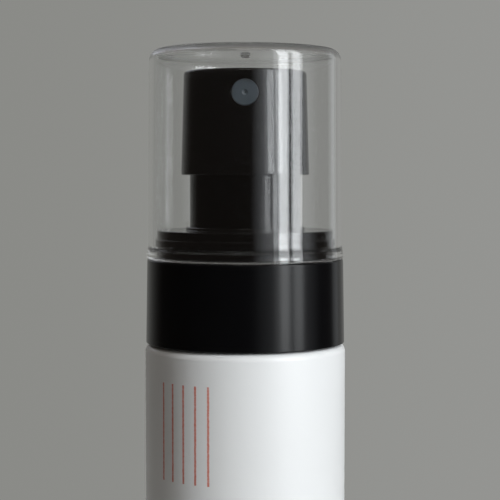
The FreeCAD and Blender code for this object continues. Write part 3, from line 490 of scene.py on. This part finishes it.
def off_axis(tree):
    """How far a point of a piece lies from the upright axis, in metres."""
    flat = tree.nodes.new("ShaderNodeVectorMath")
    flat.operation = "MULTIPLY"
    flat.inputs[1].default_value = (1, 1, 0)
    tree.links.new(place_in(tree), flat.inputs[0])
    reach = tree.nodes.new("ShaderNodeVectorMath")
    reach.operation = "LENGTH"
    tree.links.new(flat.outputs["Vector"], reach.inputs[0])
    return reach.outputs["Value"]


def graded(tree, source, low, high, start=0.0, end=1.0, kind="SMOOTHSTEP"):
    """A value that goes from start to end while its source goes from low to high."""
    node = tree.nodes.new("ShaderNodeMapRange")
    node.interpolation_type = kind
    for label, value in (("From Min", low), ("From Max", high), ("To Min", start), ("To Max", end)):
        node.inputs[label].default_value = value
    tree.links.new(source, node.inputs["Value"])
    return node.outputs["Result"]


collar_black = plastic(
    "collar_black_satin", light=(0.0026, 0.0026, 0.003), dark=(0.0016, 0.0016, 0.002), dullness=0.19,
    spread=0.05, gloss_scale=60.0, skin_scale=1300.0, skin_depth=0.000006, polish=0.23)
collar_tree = collar_black.node_tree
collar_shader = collar_tree.nodes["Principled BSDF"]
polished_step = graded(collar_tree, off_axis(collar_tree), POLISH_END * MM, (POLISH_END + POLISH_FADE) * MM,
                       start=POLISH_COAT, end=0.0, kind="LINEAR")
collar_tree.links.new(polished_step, collar_shader.inputs["Coat Weight"])
collar_shader.inputs["Coat Roughness"].default_value = POLISH_DULLNESS
dress(collar, collar_black)
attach(collar, "collar")
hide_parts("collar_shell")

# Button: the black push button on the stem. Its skirt runs over the tower, its top is dished
# for a finger, and a bore in its front holds the spray insert.
BUTTON_LOW, BUTTON_HIGH, BUTTON_SIDES = 141.9, 161.3, 216
SKIRT_FOOT_RADIUS, SKIRT_DRAFT, SKIRT_BORE, SKIRT_CEILING = 12.15, 0.55, 10.8, 159.6
SOCKET_LOW, SOCKET_HIGH, SOCKET_BORE, SOCKET_RADIUS = 147.1, 154.1, 2.22, 3.9
FINGER_RADIUS, FINGER_LOW, FINGER_DEPTH, FINGER_STEPS = 8.5, 160.6, 0.7, 8
NOZZLE_LEVEL, NOZZLE_FRONT = 156.9, 11.457
MOUTH_RADIUS, MOUTH_ROUNDING, BORE_END = 2.58, 0.15, 10.4
PATCH_HALF, PATCH_COLUMNS, SAME_LEVEL = 3.1, 9, 1e-4
PATCH_SHARES, MOUTH_ANGLES = (0.3, 0.55, 0.75, 0.9, 1.0), (30, 60, 90)
skirt_slope = SKIRT_DRAFT / (BUTTON_HIGH - BUTTON_LOW)


def skirt_radius(level):
    """The drafted skirt's outer radius."""
    return SKIRT_FOOT_RADIUS - SKIRT_DRAFT * (level - BUTTON_LOW) / (BUTTON_HIGH - BUTTON_LOW)


def front_spot(across, level):
    """A point on the skirt's front and the skirt's normal there."""
    radius = skirt_radius(level)
    depth = -math.sqrt(radius ** 2 - across ** 2)
    normal = Vector((across / radius, depth / radius, skirt_slope)).normalized()
    return (across * MM, depth * MM, level * MM), tuple(normal)


patch_levels = [NOZZLE_LEVEL + PATCH_HALF * step / PATCH_COLUMNS
                for step in range(-PATCH_COLUMNS, PATCH_COLUMNS + 1)]
finger_dish = [(FINGER_RADIUS * step / FINGER_STEPS, FINGER_LOW + FINGER_DEPTH * (step / FINGER_STEPS) ** 2)
               for step in range(FINGER_STEPS - 1, 0, -1)]
button_outline = rounded(
    [(0, SOCKET_HIGH), (SOCKET_BORE, SOCKET_HIGH), (SOCKET_BORE, SOCKET_LOW, 0.2),
     (SOCKET_RADIUS, SOCKET_LOW, 0.2), (SOCKET_RADIUS, SKIRT_CEILING, 0.4), (SKIRT_BORE, SKIRT_CEILING, 0.5),
     (SKIRT_BORE, BUTTON_LOW, 0.15), (SKIRT_FOOT_RADIUS, BUTTON_LOW, 0.25)]
    + [(skirt_radius(level), level) for level in patch_levels]
    + [(skirt_radius(BUTTON_HIGH), BUTTON_HIGH, 1.2), (FINGER_RADIUS, BUTTON_HIGH, 0.8)]
    + finger_dish + [(0, FINGER_LOW)])
button_points, button_normals, button_faces, button_rings = turned(button_outline, BUTTON_SIDES)

# The bore's mouth: a square patch of the skirt's front gives way to rings that run into the bore.
first_row = next(i for i, (spot, _) in enumerate(button_outline)
                 if spot.x > SKIRT_BORE and abs(spot.y - patch_levels[0]) < SAME_LEVEL)
last_row = 2 * PATCH_COLUMNS
front_side = BUTTON_SIDES * 3 // 4
patch = {}
for row in range(last_row + 1):
    for column in range(-PATCH_COLUMNS, PATCH_COLUMNS + 1):
        patch[(row, column)] = button_rings[first_row + row][front_side + column]
gone = {frozenset((patch[(row, column)], patch[(row, column + 1)],
                   patch[(row + 1, column + 1)], patch[(row + 1, column)]))
        for row in range(last_row) for column in range(-PATCH_COLUMNS, PATCH_COLUMNS)}
button_faces = [face for face in button_faces if frozenset(face) not in gone]
frame_walk = [patch[(0, column)] for column in range(-PATCH_COLUMNS, PATCH_COLUMNS)]
frame_walk += [patch[(row, PATCH_COLUMNS)] for row in range(last_row)]
frame_walk += [patch[(last_row, column)] for column in range(PATCH_COLUMNS, -PATCH_COLUMNS, -1)]
frame_walk += [patch[(row, -PATCH_COLUMNS)] for row in range(last_row, 0, -1)]
rings_inwards = [frame_walk]
spokes = []
for place in frame_walk:
    x, y, z = button_points[place]
    spokes.append((x / MM, z / MM - NOZZLE_LEVEL))
for share in PATCH_SHARES:
    ring = []
    for across, up in spokes:
        reach = math.hypot(across, up)
        scale = 1 - share + share * MOUTH_RADIUS / reach
        spot, normal = front_spot(across * scale, NOZZLE_LEVEL + up * scale)
        ring.append(len(button_points))
        button_points.append(spot)
        button_normals.append(normal)
    rings_inwards.append(ring)
edge_ring = [button_points[place] for place in rings_inwards[-1]]
edge_normals = [button_normals[place] for place in rings_inwards[-1]]
for turn in MOUTH_ANGLES:
    ring = []
    swing = math.radians(turn)
    for (across, up), edge_spot, normal in zip(spokes, edge_ring, edge_normals):
        reach = math.hypot(across, up)
        inwards = Vector((-across / reach, 0, -up / reach))
        spot = Vector(edge_spot) + inwards * (MOUTH_ROUNDING * MM * math.sin(swing))
        spot.y += MOUTH_ROUNDING * MM * (1 - math.cos(swing))
        ring.append(len(button_points))
        button_points.append(tuple(spot))
        bent = Vector(normal) * math.cos(swing) + inwards * math.sin(swing)
        button_normals.append(tuple(bent.normalized()))
    rings_inwards.append(ring)
ring = []
for (across, up), place in zip(spokes, rings_inwards[-1]):
    reach = math.hypot(across, up)
    x, y, z = button_points[place]
    ring.append(len(button_points))
    button_points.append((x, -BORE_END * MM, z))
    button_normals.append((-across / reach, 0, -up / reach))
rings_inwards.append(ring)
for outer, inner in zip(rings_inwards, rings_inwards[1:]):
    for i in range(len(outer)):
        j = (i + 1) % len(outer)
        button_faces.append([outer[i], outer[j], inner[j], inner[i]])
button = new_piece("push_button", button_points, button_normals, button_faces)
button_black = plastic(
    "button_black_gloss", light=(0.0065, 0.0065, 0.007), dark=(0.0045, 0.0045, 0.005), dullness=0.075,
    spread=0.03, gloss_scale=70.0, skin_scale=1300.0, skin_depth=0.000003)
dress(button, button_black)
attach(button, "button")
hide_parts("actuator")

# Spray insert: a small grey-blue cup pressed into the button's front. Its flat face has a
# shallow dimple with the spray hole in the middle.
INSERT_SIDES, INSERT_RADIUS, INSERT_LENGTH = 96, 2.4, 3.2
HOLE_RADIUS, DIMPLE_RADIUS, DIMPLE_DEPTH = 0.15, 0.55, 0.25
CUP_RADIUS, CUP_FLOOR, SWIRL_RADIUS, SWIRL_FLOOR = 1.35, 0.9, 0.65, 0.6
insert_outline = rounded([
    (HOLE_RADIUS, DIMPLE_DEPTH, 0.03), (DIMPLE_RADIUS, 0, 0.1), (INSERT_RADIUS, 0, 0.18),
    (INSERT_RADIUS, INSERT_LENGTH), (CUP_RADIUS, INSERT_LENGTH), (CUP_RADIUS, CUP_FLOOR),
    (SWIRL_RADIUS, CUP_FLOOR), (SWIRL_RADIUS, SWIRL_FLOOR), (HOLE_RADIUS, SWIRL_FLOOR, 0.03)])
insert_points, insert_normals, insert_faces, _ = turned(insert_outline, INSERT_SIDES)
insert_points = [(x, z - NOZZLE_FRONT * MM, NOZZLE_LEVEL * MM - y) for x, y, z in insert_points]
insert_normals = [(x, z, -y) for x, y, z in insert_normals]
insert = new_piece("spray_insert", insert_points, insert_normals, insert_faces)
insert_grey = plastic(
    "insert_grey_blue", light=(0.115, 0.140, 0.162), dark=(0.095, 0.117, 0.137), dullness=0.38, spread=0.06,
    gloss_scale=200.0, skin_scale=2200.0, skin_depth=0.00001)
dress(insert, insert_grey)
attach(insert, "button")
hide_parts("nozzle_insert")

# Overcap: a clear polished moulding that slides over the collar's step, with a thicker band
# inside its rim. Its lower edge and its thick upper corner are a little hazy, and the small
# mark of its gate is in the middle of the top. The upper corner and the gate mark are also
# greyed in the cap's colour, as painted shade for the darker band along the corner and the dark gate dash.
CAP_LOW, CAP_HIGH, CAP_TOP_RADIUS, CAP_CORNER = 126.05, 165.5, 18.16, 2.3
RIM_RADIUS, RIM_HIGH, RIM_END, RIM_END_RADIUS = 18.6, 127.1, 128.35, 18.4
CAP_CEILING, CEILING_RADIUS = 164.4, 16.97
BAND_BORE, BAND_LOW, BAND_HIGH, BAND_END, BAND_END_BORE = 17.12, 126.5, 127.5, 128.3, 17.3
LEAD_IN_RADIUS = 17.6
GATE_RADIUS, GATE_PIT, GATE_FLOOR = 0.95, 165.2, 163.95
GATE_PIT_RADIUS, GATE_FLOOR_RADIUS = 0.63, 0.78
cap_outline = rounded([
    (LEAD_IN_RADIUS, CAP_LOW, 0.05), (RIM_RADIUS, CAP_LOW, 0.2), (RIM_RADIUS, RIM_HIGH, 0.4),
    (RIM_END_RADIUS, RIM_END, 0.4), (CAP_TOP_RADIUS, CAP_HIGH, CAP_CORNER), (GATE_RADIUS, CAP_HIGH, 0.1),
    (GATE_PIT_RADIUS, GATE_PIT, 0.1), (0, GATE_PIT), (0, GATE_FLOOR), (GATE_FLOOR_RADIUS, GATE_FLOOR, 0.2),
    (GATE_RADIUS, CAP_CEILING, 0.08), (CEILING_RADIUS, CAP_CEILING, 1.0), (BAND_END_BORE, BAND_END, 0.3),
    (BAND_BORE, BAND_HIGH, 0.3), (BAND_BORE, BAND_LOW, 0.1)])
cap = new_piece("overcap_clear", *turned(cap_outline, ROUND_SIDES)[:3])
# The second colour is a grey painted as shade on the cap's upper corner and gate mark.
CAP_CLEAR, CAP_SHADE_GREY = (0.985, 0.99, 0.99), (0.5, 0.5, 0.5)
FROST, FROST_FULL, FROST_END = 0.25, 126.28, 126.40
cap_clear = bpy.data.materials.new("cap_clear_plastic")
cap_clear.use_nodes = True
cap_tree = cap_clear.node_tree
cap_shader = cap_tree.nodes["Principled BSDF"]
cap_shader.inputs["Transmission Weight"].default_value = 1.0
cap_shader.inputs["IOR"].default_value = 1.52
cap_surface = moulded_surface(cap_tree, dullness=0.012, spread=0.02, gloss_scale=50.0)
_, _, cap_level = along_axes(cap_tree, place_in(cap_tree))
cap_reach = off_axis(cap_tree)


def cap_zone(low, high, middle, half, amount):
    """A mask that rises to an amount from one height to another, within half a width of a radius."""
    climb = graded(cap_tree, cap_level, low * MM, high * MM, end=amount)
    within = value_node(cap_tree, "COMPARE", cap_reach, middle * MM, half * MM)
    return value_node(cap_tree, "MULTIPLY", climb, within)


frosted_edge = graded(cap_tree, cap_level, FROST_FULL * MM, FROST_END * MM, start=FROST, end=0.0,
                      kind="LINEAR")
# The corner and gate masks dull the surface and also paint shade: they grey the cap's colour there.
corner_haze_and_shade = cap_zone(low=163.8, high=164.8, middle=17.6, half=1.0, amount=0.45)
inner_haze = cap_zone(low=163.2, high=164.0, middle=16.6, half=0.8, amount=0.2)
gate_haze_and_shade = cap_zone(low=163.0, high=163.2, middle=0.0, half=0.9, amount=0.6)
# Painted shade: the cap's colour goes grey at the upper corner and at the gate mark.
painted_shade = value_node(cap_tree, "ADD", corner_haze_and_shade, gate_haze_and_shade)
cap_tree.links.new(mixed(cap_tree, painted_shade, CAP_CLEAR, CAP_SHADE_GREY), cap_shader.inputs["Base Color"])
cap_dull = cap_surface.outputs["Roughness"]
for haze in (frosted_edge, corner_haze_and_shade, inner_haze, gate_haze_and_shade):
    cap_dull = value_node(cap_tree, "ADD", cap_dull, haze)
cap_tree.links.new(cap_dull, cap_shader.inputs["Roughness"])
dress(cap, cap_clear)
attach(cap, "overcap")
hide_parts("overcap")

# Studio: a pale floor that fades out round the object, and a grey room with a tall window of
# two panes to the right, a panel overhead, a side wall and a faint glow behind on the left.
# The camera stands at the photo's place.
FLOOR_HALF, FLOOR_TONE, FLOOR_DULLNESS = 0.5, (0.6, 0.6, 0.58, 1), 0.7
FADE_START, FADE_END = 0.12, 0.3
floor_mesh = bpy.data.meshes.new("floor")
floor_mesh.from_pydata([(-FLOOR_HALF, -FLOOR_HALF, 0), (FLOOR_HALF, -FLOOR_HALF, 0),
                        (FLOOR_HALF, FLOOR_HALF, 0), (-FLOOR_HALF, FLOOR_HALF, 0)], [], [(0, 1, 2, 3)])
floor = bpy.data.objects.new("floor", floor_mesh)
scene.collection.objects.link(floor)
pale = bpy.data.materials.new("floor_pale")
pale.use_nodes = True
pale_tree = pale.node_tree
pale_shader = pale_tree.nodes["Principled BSDF"]
pale_shader.inputs["Base Color"].default_value = FLOOR_TONE
pale_shader.inputs["Roughness"].default_value = FLOOR_DULLNESS
fade = graded(pale_tree, off_axis(pale_tree), FADE_START, FADE_END, start=1.0, end=0.0)
pale_tree.links.new(fade, pale_shader.inputs["Alpha"])
dress(floor, pale)

BACKDROP_LEFT, BACKDROP_RIGHT = (0.255, 0.257, 0.243), (0.296, 0.298, 0.286)
DARK_LOW, DARK_HIGH = (0.034, 0.029, 0.025), (0.18, 0.163, 0.148)
WINDOW_SIDE, WINDOW_WALL = math.radians(52), (0.60, 0.62, 0.64)
GLOW_SIDE, GLOW_TONE = (-0.42, 0.74, 0.52), (0.88, 0.90, 0.98)
room = bpy.data.worlds.new("room")
room.use_nodes = True
scene.world = room
sky = room.node_tree
facing = sky.nodes.new("ShaderNodeTexCoord").outputs["Generated"]
facing_x, facing_y, facing_z = along_axes(sky, facing)


def towards(direction):
    """How nearly a look into the room goes in a direction, as a cosine."""
    node = sky.nodes.new("ShaderNodeVectorMath")
    node.operation = "DOT_PRODUCT"
    node.inputs[1].default_value = direction
    sky.links.new(facing, node.inputs[0])
    return node.outputs["Value"]


backdrop = mixed(sky, graded(sky, facing_x, low=-0.2, high=0.2), BACKDROP_LEFT, BACKDROP_RIGHT)
dark_side = mixed(sky, graded(sky, facing_z, low=0.15, high=0.7), DARK_LOW, DARK_HIGH)
at_window = towards((math.sin(WINDOW_SIDE), -math.cos(WINDOW_SIDE), 0))
lit_side = mixed(sky, graded(sky, at_window, low=0.70, high=0.97), dark_side, WINDOW_WALL)
all_round = mixed(sky, graded(sky, facing_y, low=0.35, high=0.9), lit_side, backdrop)
all_round = mixed(sky, graded(sky, towards(GLOW_SIDE), low=0.93, high=0.985), all_round, GLOW_TONE)
light_path = sky.nodes.new("ShaderNodeLightPath")
bounced = value_node(sky, "ADD", light_path.outputs["Glossy Depth"], light_path.outputs["Diffuse Depth"])
bounced.node.use_clamp = True
sky.links.new(mixed(sky, bounced, backdrop, all_round), sky.nodes["Background"].inputs["Color"])
scene.view_settings.view_transform = "Standard"
scene.cycles.max_bounces = 24
scene.cycles.glossy_bounces = 16
scene.cycles.transmission_bounces = 20

LIGHT_AIM = 0.12
WINDOW_LEVEL, WINDOW_REACH, WINDOW_TALL = 0.35, 0.62, 0.70
WINDOW_TINT, FILL_TINT = (0.97, 1.0, 1.02), (0.94, 1.0, 1.065)
PANEL_TINT, WALL_TINT = (1.0, 0.98, 0.93), (0.95, 1.0, 1.05)


def soft_light(name, azimuth, level, reach, wide, tall, glow, colour):
    """A flat soft light that faces the object. The azimuth counts to the right from the camera's side."""
    light = bpy.data.lights.new(name, "AREA")
    light.shape = "RECTANGLE"
    light.size = wide
    light.size_y = tall
    light.energy = glow * math.pi * wide * tall
    light.color = colour
    lamp = bpy.data.objects.new(name, light)
    side = math.radians(azimuth)
    tilt = math.atan2(level - LIGHT_AIM, reach)
    lamp.location = (reach * math.sin(side), -reach * math.cos(side), level)
    lamp.rotation_euler = (math.pi / 2 - tilt, 0, side)
    lamp.visible_camera = False
    scene.collection.objects.link(lamp)
    return lamp


def window_light(name, azimuth, wide, glow, colour=WINDOW_TINT):
    """A soft light that stands in the window."""
    return soft_light(name, azimuth, WINDOW_LEVEL, WINDOW_REACH, wide, WINDOW_TALL, glow, colour)


window_light("window_near_pane", azimuth=46.0, wide=0.146, glow=6.3)
far_pane = window_light("window_far_pane", azimuth=63.2, wide=0.155, glow=4.7)
far_pane.visible_diffuse = False
window_fill = window_light("window_fill", azimuth=44.5, wide=0.20, glow=5.2, colour=FILL_TINT)
window_fill.visible_glossy = False
window_fill.visible_transmission = False
window_light("window_frame", azimuth=36.4, wide=0.07, glow=1.2)
soft_light("overhead_panel", azimuth=8.0, level=0.85, reach=0.55, wide=0.45, tall=0.45, glow=0.9,
           colour=PANEL_TINT)
soft_light("side_wall", azimuth=128.0, level=0.25, reach=0.75, wide=0.20, tall=0.5, glow=0.36,
           colour=WALL_TINT)

CAMERA_PLACE, CAMERA_DOWN = (0.00091, -0.2717, 0.14261), 3.16
SENSOR_WIDTH, LENS, CLIP_START = 36.0, 102.96, 0.01
camera_data = bpy.data.cameras.new("camera")
camera_data.sensor_width = SENSOR_WIDTH
camera_data.lens = LENS
camera_data.clip_start = CLIP_START
camera = bpy.data.objects.new("camera", camera_data)
camera.location = CAMERA_PLACE
camera.rotation_euler = (math.radians(90 - CAMERA_DOWN), 0, 0)
scene.collection.objects.link(camera)
scene.camera = camera
